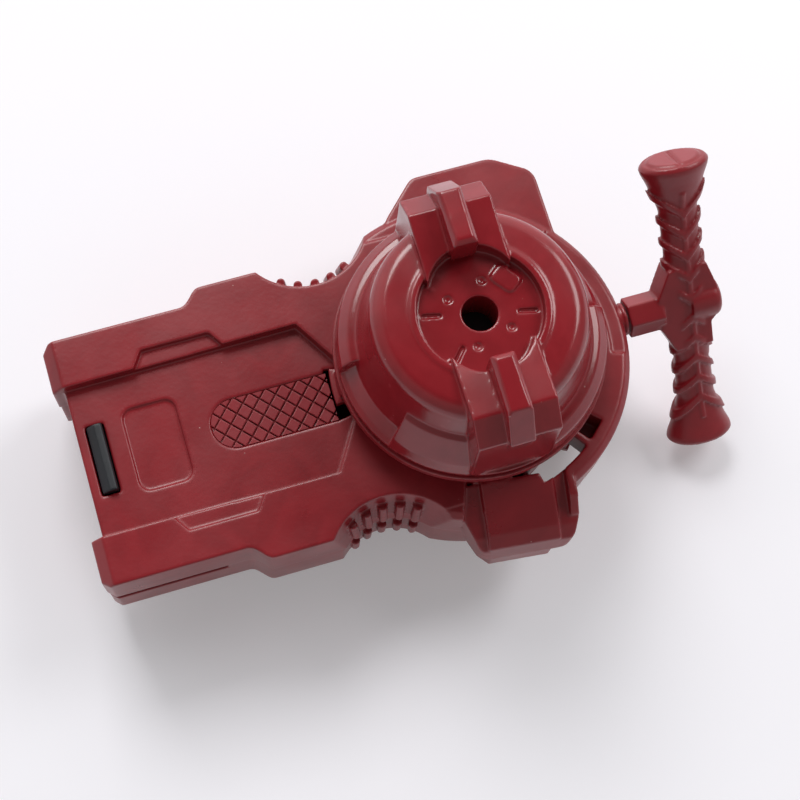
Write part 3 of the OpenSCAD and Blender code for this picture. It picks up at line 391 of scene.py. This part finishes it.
bpy.ops.object.select_all(action="DESELECT")
bpy.ops.mesh.primitive_cylinder_add(vertices=4, radius=0.5, depth=1.0, location=(0, 0, 0))
lozenge = bpy.context.object
bpy.ops.object.mode_set(mode="EDIT")
bpy.ops.transform.resize(value=(LOZENGE_X - LOZENGE_GAP, LOZENGE_Y - LOZENGE_GAP, LOZENGE_HIGH))
bpy.ops.transform.translate(value=(0, 0, PAD_FLOOR + LOZENGE_HIGH / 2))
bpy.ops.mesh.select_all(action="DESELECT")
bpy.ops.object.mode_set(mode="OBJECT")
for face in lozenge.data.polygons:
    face.select = face.normal.z > FACES_UP
bpy.ops.object.mode_set(mode="EDIT")
bpy.ops.mesh.extrude_region_move(TRANSFORM_OT_translate={"value": (0, 0, 0)})
bpy.ops.transform.resize(value=(LOZENGE_TOP, LOZENGE_TOP, 1))
bpy.ops.transform.translate(value=(0, 0, LOZENGE_CROWN))
bpy.ops.object.mode_set(mode="OBJECT")
print("lozenge with", len(lozenge.data.polygons), "faces")

# %% [markdown]
# Copies fill a grid that is larger than the pad. Every second row and column is shifted by half a step, so
# the lozenges stand point to point with narrow slanting grooves between them.

# %% Lay out the tread
TREAD_COLUMNS = range(-9, 10)
TREAD_ROWS = range(-2, 3)

tiles = []
for i in TREAD_COLUMNS:
    for j in TREAD_ROWS:
        for half in (0, 0.5):
            tile = lozenge.copy()
            tile.data = lozenge.data.copy()
            bpy.context.scene.collection.objects.link(tile)
            tile.location = (PAD_MID_X + (i + half) * LOZENGE_X, (j + half) * LOZENGE_Y, 0)
            tiles.append(tile)
bpy.data.objects.remove(lozenge)
bpy.ops.object.select_all(action="DESELECT")
for tile in tiles:
    tile.select_set(True)
tread = tiles[0]
bpy.context.view_layer.objects.active = tread
bpy.ops.object.transform_apply(location=True, rotation=False, scale=False)
bpy.ops.object.join()
tread.name = "thumb_pad_tread"
print("tread of", len(tread.data.polygons), "faces")

# %% [markdown]
# A boolean with the pad's own outline, a bar with a round tail end, trims the lozenges that run over its
# edge. The round end is a bevel of the two upright edges at the tail.

# %% Trim it to the pad
TRIM_HIGH = 4 * MM
TRIM_SEGMENTS = 14
TOUCH = 0.01 * MM
SOFT_ANGLE = math.radians(8)

bpy.ops.object.select_all(action="DESELECT")
bpy.ops.mesh.primitive_cube_add(size=1.0, location=(0, 0, 0))
outline = bpy.context.object
bpy.ops.object.mode_set(mode="EDIT")
bpy.ops.transform.resize(value=(PAD_LENGTH - 2 * PAD_EDGE, PAD_WIDTH - 2 * PAD_EDGE, TRIM_HIGH))
bpy.ops.transform.translate(value=(PAD_MID_X, 0, PAD_FLOOR))
bpy.ops.mesh.select_all(action="DESELECT")
bpy.ops.mesh.select_mode(type="EDGE")
bpy.ops.object.mode_set(mode="OBJECT")
tail_x = min(vertex.co.x for vertex in outline.data.vertices)
for edge in outline.data.edges:
    ends = [outline.data.vertices[v].co for v in edge.vertices]
    upright = abs(ends[0].z - ends[1].z) > MM
    edge.select = upright and all(abs(end.x - tail_x) < TOUCH for end in ends)
bpy.ops.object.mode_set(mode="EDIT")
bpy.ops.mesh.bevel(offset=PAD_WIDTH / 2 - 2 * PAD_EDGE, segments=TRIM_SEGMENTS)
bpy.ops.object.mode_set(mode="OBJECT")
apply_modifier(tread, "BOOLEAN", operation="INTERSECT", solver="EXACT", object=outline)
bpy.data.objects.remove(outline)
paint(tread, red_satin)
bpy.ops.object.shade_smooth_by_angle(angle=SOFT_ANGLE)
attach(tread, "casing")
print("tread trimmed,", len(tread.data.polygons), "faces")

# %% [markdown]
# ## The cord
# Half a metre of braided cord is wound on the spool inside, and leaves through the eyelet straight into the
# nose of the handle. A circle that runs along the cord's way makes the lead. It has many rings between the
# eyelet and the nose, because that short stretch is drawn out when the handle is pulled.

# %% The lead from the spool to the handle
CORD_R = 0.8 * MM
CORD_Z = 28.6 * MM
CORD_ROUTE = [(10, 14.9), (15, 11.5), (20, 8.2), (25, 4.8), (29, 2.2), (31, 1.1), (33, 0.3), (35, 0)]
CORD_END_X = 46.5
PULL_START_X = 35.4
PULL_END_X = 44.6
STRETCH_RINGS = 90

stops = [Vector((x, y, 0)) * MM + Vector((0, 0, CORD_Z)) for x, y in CORD_ROUTE]
stops += [Vector(((PULL_START_X + (PULL_END_X - PULL_START_X) * i / STRETCH_RINGS) * MM, 0, CORD_Z))
          for i in range(STRETCH_RINGS + 1)]
stops.append(Vector((CORD_END_X * MM, 0, CORD_Z)))

way = bpy.data.curves.new("cord_way", "CURVE")
way.dimensions = "3D"
way.bevel_depth = CORD_R
way.bevel_resolution = 2
way.use_fill_caps = True
line = way.splines.new("POLY")
line.points.add(len(stops) - 1)
for point, stop in zip(line.points, stops):
    point.co = (*stop, 1)
lead = bpy.data.objects.new("cord_lead_braid", way)
bpy.context.scene.collection.objects.link(lead)
only(lead)
bpy.ops.object.convert(target="MESH")
bpy.ops.object.shade_smooth()
paint(lead, cord_braid)
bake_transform(lead)
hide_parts("cord_lead")
print("lead with", len(stops), "rings")

# %% [markdown]
# The winding is the same circle turned round the spool by a screw modifier, three turns side by side. The
# circle is a hair thinner than the cord, so that the turns stay clear of the groove's walls. A plain sleeve
# under the turns stands for the layers that nobody sees.

# %% The winding on the spool
WINDING_R = 16.8 * MM
WINDING_CORE_R = 12.1 * MM
GROOVE_LOW = 26.25 * MM
GROOVE_HIGH = 4.7 * MM
CORD_TURNS = 3
TURN_R = CORD_R * 0.98
TURN_SIDES = 12
ROUND_STEPS = 72
SLEEVE_R = WINDING_R - 1.4 * CORD_R

bpy.ops.object.select_all(action="DESELECT")
bpy.ops.mesh.primitive_circle_add(vertices=TURN_SIDES, radius=TURN_R, fill_type="NOTHING", location=(0, 0, 0))
winding = bpy.context.object
winding.name = "cord_winding_turns"
bpy.ops.object.mode_set(mode="EDIT")
bpy.ops.mesh.select_all(action="SELECT")
bpy.ops.transform.rotate(value=math.pi / 2, orient_axis="X", center_override=(0, 0, 0))
bpy.ops.transform.translate(value=(WINDING_R - CORD_R, 0, GROOVE_LOW + CORD_R))
bpy.ops.object.mode_set(mode="OBJECT")
turn_rise = (GROOVE_HIGH - 2 * CORD_R) / CORD_TURNS
apply_modifier(winding, "SCREW", axis="Z", angle=2 * math.pi, screw_offset=turn_rise, iterations=CORD_TURNS,
               steps=ROUND_STEPS, render_steps=ROUND_STEPS, use_smooth_shade=True)

bpy.ops.object.select_all(action="DESELECT")
bpy.ops.mesh.primitive_cylinder_add(vertices=ROUND_STEPS, radius=SLEEVE_R, depth=GROOVE_HIGH,
                                    end_fill_type="NOTHING", location=(0, 0, GROOVE_LOW + GROOVE_HIGH / 2))
sleeve = bpy.context.object
bpy.ops.object.transform_apply(location=True, rotation=False, scale=False)
apply_modifier(sleeve, "SOLIDIFY", thickness=SLEEVE_R - WINDING_CORE_R, offset=-1)
winding.select_set(True)
bpy.context.view_layer.objects.active = winding
bpy.ops.object.join()
stand_for(winding, ["cord_winding"], cord_braid)
print("winding of", CORD_TURNS, "outer turns")

# %% [markdown]
# ## The latch spring
# The latch bar rests on a small coil. A copy of the coil, in zinc-plated steel, takes the place of the CAD
# node.

# %% Copy the coil
coil = copy_of("latch_spring", "latch_spring_coil")
paint(coil, zinc_steel)
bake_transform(coil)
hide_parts("latch_spring")

# %% [markdown]
# ## The table and the light
# The toy lies on white paper. The floor is only a stage, not a piece of the toy. The camera and mirror-like
# reflections see the paper partly as plain white, as on a bright sweep, and the rest of it keeps the shadow.

# %% Floor
PAPER = linear("#fbf9ff")
PAPER_GLOW = 0.2
PAPER_SIZE = 6.0

bpy.ops.object.select_all(action="DESELECT")
bpy.ops.mesh.primitive_plane_add(size=PAPER_SIZE, location=(0, 0, 0))
floor = bpy.context.object
floor.name = "paper_floor"
paper, paper_tree = new_material("white_paper")
rays = add(paper_tree, "ShaderNodeLightPath")
seen = add(paper_tree, "ShaderNodeMath", {"operation": "MAXIMUM"}, i0=rays.outputs["Is Camera Ray"],
           i1=rays.outputs["Is Glossy Ray"])
share = add(paper_tree, "ShaderNodeMath", {"operation": "MULTIPLY"}, i0=seen.outputs["Value"], i1=PAPER_GLOW)
matt = add(paper_tree, "ShaderNodeBsdfDiffuse", Color=PAPER)
white = add(paper_tree, "ShaderNodeEmission", Color=(1, 1, 1, 1), Strength=1.0)
paper_shader = add(paper_tree, "ShaderNodeMixShader", i0=share.outputs["Value"], i1=matt.outputs["BSDF"],
                   i2=white.outputs["Emission"])
add(paper_tree, "ShaderNodeOutputMaterial", Surface=paper_shader.outputs["Shader"])
paint(floor, paper)
print("paper laid")

# %% [markdown]
# One window stands behind the toy and one beside it, in a room that is dark overhead. So faces that lean back
# catch a pale haze, and the near sides fall into deep red. The world's light grows towards the back, where
# the windows are, and fades at the ceiling, which a glossy top would otherwise mirror.

# %% The room
ROOM_LEVEL = 0.38
WINDOW_LEVEL = 1.2
CEILING_SHARE = 0.25

world = bpy.data.worlds.new("soft_studio")
bpy.context.scene.world = world
world.use_nodes = True
sky = world.node_tree
sky.nodes.clear()
toward = add(sky, "ShaderNodeSeparateXYZ", Vector=add(sky, "ShaderNodeTexCoord").outputs["Generated"])
window = add(sky, "ShaderNodeMapRange", {"interpolation_type": "SMOOTHSTEP"}, Value=toward.outputs["Y"],
             From_Min=0.2, From_Max=0.8, To_Min=ROOM_LEVEL, To_Max=WINDOW_LEVEL)
ceiling = add(sky, "ShaderNodeMapRange", {"interpolation_type": "SMOOTHSTEP"}, Value=toward.outputs["Z"],
              From_Min=0.7, From_Max=0.92, To_Min=1.0, To_Max=CEILING_SHARE)
room = add(sky, "ShaderNodeMath", {"operation": "MULTIPLY"}, i0=window.outputs["Result"],
           i1=ceiling.outputs["Result"])
glow = add(sky, "ShaderNodeBackground", Color=(1, 1, 1, 1), Strength=room.outputs["Value"])
add(sky, "ShaderNodeOutputWorld", Surface=glow.outputs["Background"])
print("room lit")

# %% [markdown]
# The windows themselves are two square area lamps. Each is turned so that its face looks at the toy.

# %% The windows
LAMP_AIM = Vector((0, 0, 0.03))
LAMP_SIZE = 0.5


def soft_box(name, place, power):
    """Add a square lamp at a place in metres, facing the toy, with its power in watts."""
    bpy.ops.object.light_add(type="AREA", location=place)
    lamp = bpy.context.object
    lamp.name = name
    lamp.data.size = LAMP_SIZE
    lamp.data.energy = power
    lamp.rotation_euler = (LAMP_AIM - Vector(place)).to_track_quat("-Z", "Y").to_euler()


soft_box("back_window", (-0.05, 0.8, 0.92), 7.2)
soft_box("side_window", (0.8, 0.3, 0.9), 4.8)
print("windows set")
